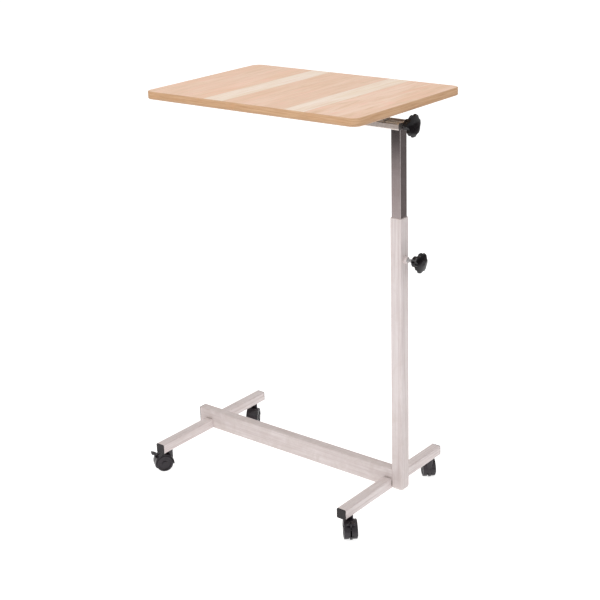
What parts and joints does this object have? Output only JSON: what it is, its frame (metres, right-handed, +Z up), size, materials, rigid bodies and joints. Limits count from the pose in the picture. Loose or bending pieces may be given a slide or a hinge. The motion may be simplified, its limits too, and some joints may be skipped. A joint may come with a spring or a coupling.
{
  "type": "overbed table",
  "caption": "Overbed table: a tilting laminated top on a sliding chromed post clamped in a square column, on an I-shaped base with swivelling twin-wheel casters.",
  "frame": {"origin": "on the floor, under the middle of the whole table's bounding box", "axes": "+Z up; +X along the top towards the column and its knobs; -Y towards the front, where the braked casters are"},
  "size_m": [0.7012, 0.4195, 0.987],
  "materials": {
    "laminated_board": "melamine laminate over particle board, pale oak plank print, satin",
    "oak_edge_band": "oak-coloured PVC edge band, satin",
    "white_powder_coat": "warm white powder coat, semi-gloss",
    "white_plastic": "off-white plastic plug, satin",
    "chrome_plate": "bright chrome plate",
    "zinc_steel": "zinc-plated steel",
    "brass": "turned brass",
    "knob_plastic": "black moulded plastic, slight sheen",
    "cap_plastic": "black moulded plastic, satin",
    "caster_plastic": "black moulded plastic, satin",
    "wheel_nylon": "black nylon, satin",
    "socket_plastic": "dark nylon, matt"
  },
  "bodies": {
    "base": {"column_tube": "white_powder_coat", "column_bushing": "white_plastic", "column_foot_plug": "white_plastic", "clamp_boss": "white_powder_coat", "cross_beam": "white_powder_coat", "beam_end_cap": "cap_plastic", "left_leg": "white_powder_coat", "right_leg": "white_powder_coat", "weld_beads": "white_powder_coat", "leg_cap_left_front": "cap_plastic", "leg_cap_left_rear": "cap_plastic", "leg_cap_right_front": "cap_plastic", "leg_cap_right_rear": "cap_plastic", "caster_socket_left_front": "socket_plastic", "caster_socket_left_rear": "socket_plastic", "caster_socket_right_front": "socket_plastic", "caster_socket_right_rear": "socket_plastic"},
    "mast": {"inner_post": "chrome_plate", "post_glide": "socket_plastic", "head_cradle": "chrome_plate", "tilt_rod": "zinc_steel", "rod_spacers": "zinc_steel", "rod_lock_nut": "zinc_steel"},
    "table": {"table_board": "laminated_board", "edge_band": "oak_edge_band", "table_bracket": "zinc_steel", "bracket_screws": "zinc_steel"},
    "tilt_clamp": {"clamp_washer": "zinc_steel"},
    "tilt_handle": {"tilt_knob": "knob_plastic", "tilt_knob_insert": "brass"},
    "height_clamp": {"clamp_pad": "brass"},
    "height_handle": {"height_knob": "knob_plastic", "height_stud": "zinc_steel"},
    "caster_left_front": {"caster_hood_left_front": "caster_plastic", "caster_stem_left_front": "zinc_steel", "caster_axle_left_front": "zinc_steel", "brake_pin_left_front": "zinc_steel"},
    "wheel_a_left_front": {"caster_wheel_a_left_front": "wheel_nylon"},
    "wheel_b_left_front": {"caster_wheel_b_left_front": "wheel_nylon"},
    "brake_left_front": {"brake_lever_left_front": "caster_plastic"},
    "caster_left_rear": {"caster_hood_left_rear": "caster_plastic", "caster_stem_left_rear": "zinc_steel", "caster_axle_left_rear": "zinc_steel"},
    "wheel_a_left_rear": {"caster_wheel_a_left_rear": "wheel_nylon"},
    "wheel_b_left_rear": {"caster_wheel_b_left_rear": "wheel_nylon"},
    "caster_right_front": {"caster_hood_right_front": "caster_plastic", "caster_stem_right_front": "zinc_steel", "caster_axle_right_front": "zinc_steel", "brake_pin_right_front": "zinc_steel"},
    "wheel_a_right_front": {"caster_wheel_a_right_front": "wheel_nylon"},
    "wheel_b_right_front": {"caster_wheel_b_right_front": "wheel_nylon"},
    "brake_right_front": {"brake_lever_right_front": "caster_plastic"},
    "caster_right_rear": {"caster_hood_right_rear": "caster_plastic", "caster_stem_right_rear": "zinc_steel", "caster_axle_right_rear": "zinc_steel"},
    "wheel_a_right_rear": {"caster_wheel_a_right_rear": "wheel_nylon"},
    "wheel_b_right_rear": {"caster_wheel_b_right_rear": "wheel_nylon"}
  },
  "joints": [
    {"name": "height_slide", "type": "slide", "parent": "base", "child": "mast", "axis": [0, 0, 1], "range_m": [-0.2, 0.13]},
    {"name": "top_tilt", "type": "hinge", "parent": "mast", "child": "table", "pos_m": [0.28656, 0, 0.936], "axis": [1, 0, 0], "range_deg": [-40, 40]},
    {"name": "tilt_screw_travel", "type": "slide", "parent": "mast", "child": "tilt_clamp", "axis": [1, 0, 0], "range_m": [0, 0.0025]},
    {"name": "tilt_knob_turn", "type": "hinge", "parent": "tilt_clamp", "child": "tilt_handle", "pos_m": [0.30416, 0, 0.936], "axis": [1, 0, 0], "range_deg": [0, 721]},
    {"name": "height_screw_travel", "type": "slide", "parent": "base", "child": "height_clamp", "axis": [1, 0, 0], "range_m": [0, 0.0025]},
    {"name": "height_knob_turn", "type": "hinge", "parent": "height_clamp", "child": "height_handle", "pos_m": [0.32555, 0, 0.631], "axis": [1, 0, 0], "range_deg": [0, 721]},
    {"name": "swivel_left_front", "type": "hinge", "parent": "base", "child": "caster_left_front", "pos_m": [-0.31494, -0.168, 0.055], "axis": [0, 0, 1], "continuous": true},
    {"name": "spin_a_left_front", "type": "hinge", "parent": "caster_left_front", "child": "wheel_a_left_front", "pos_m": [-0.32389, -0.18127, 0.0215], "axis": [0.829, -0.5592, 0], "continuous": true},
    {"name": "spin_b_left_front", "type": "hinge", "parent": "caster_left_front", "child": "wheel_b_left_front", "pos_m": [-0.32389, -0.18127, 0.0215], "axis": [0.829, -0.5592, 0], "continuous": true},
    {"name": "brake_press_left_front", "type": "hinge", "parent": "caster_left_front", "child": "brake_left_front", "pos_m": [-0.33144, -0.19246, 0.029], "axis": [0.829, -0.5592, 0], "range_deg": [0, 18]},
    {"name": "swivel_left_rear", "type": "hinge", "parent": "base", "child": "caster_left_rear", "pos_m": [-0.31494, 0.168, 0.055], "axis": [0, 0, 1], "continuous": true},
    {"name": "spin_a_left_rear", "type": "hinge", "parent": "caster_left_rear", "child": "wheel_a_left_rear", "pos_m": [-0.30695, 0.15414, 0.0215], "axis": [0.866, 0.5, 0], "continuous": true},
    {"name": "spin_b_left_rear", "type": "hinge", "parent": "caster_left_rear", "child": "wheel_b_left_rear", "pos_m": [-0.30695, 0.15414, 0.0215], "axis": [0.866, 0.5, 0], "continuous": true},
    {"name": "swivel_right_front", "type": "hinge", "parent": "base", "child": "caster_right_front", "pos_m": [0.25905, -0.168, 0.055], "axis": [0, 0, 1], "continuous": true},
    {"name": "spin_a_right_front", "type": "hinge", "parent": "caster_right_front", "child": "wheel_a_right_front", "pos_m": [0.26976, -0.17989, 0.0215], "axis": [0.7431, 0.6691, 0], "continuous": true},
    {"name": "spin_b_right_front", "type": "hinge", "parent": "caster_right_front", "child": "wheel_b_right_front", "pos_m": [0.26976, -0.17989, 0.0215], "axis": [0.7431, 0.6691, 0], "continuous": true},
    {"name": "brake_press_right_front", "type": "hinge", "parent": "caster_right_front", "child": "brake_right_front", "pos_m": [0.27879, -0.18992, 0.029], "axis": [0.7431, 0.6691, 0], "range_deg": [0, 18]},
    {"name": "swivel_right_rear", "type": "hinge", "parent": "base", "child": "caster_right_rear", "pos_m": [0.25905, 0.168, 0.055], "axis": [0, 0, 1], "continuous": true},
    {"name": "spin_a_right_rear", "type": "hinge", "parent": "caster_right_rear", "child": "wheel_a_right_rear", "pos_m": [0.24814, 0.1797, 0.0215], "axis": [-0.7314, -0.682, 0], "continuous": true},
    {"name": "spin_b_right_rear", "type": "hinge", "parent": "caster_right_rear", "child": "wheel_b_right_rear", "pos_m": [0.24814, 0.1797, 0.0215], "axis": [-0.7314, -0.682, 0], "continuous": true}
  ],
  "couplings": [
    {"joint": "tilt_knob_turn", "follows": "tilt_screw_travel", "rad_per_m": 5026.5},
    {"joint": "height_knob_turn", "follows": "height_screw_travel", "rad_per_m": 5026.5}
  ]
}
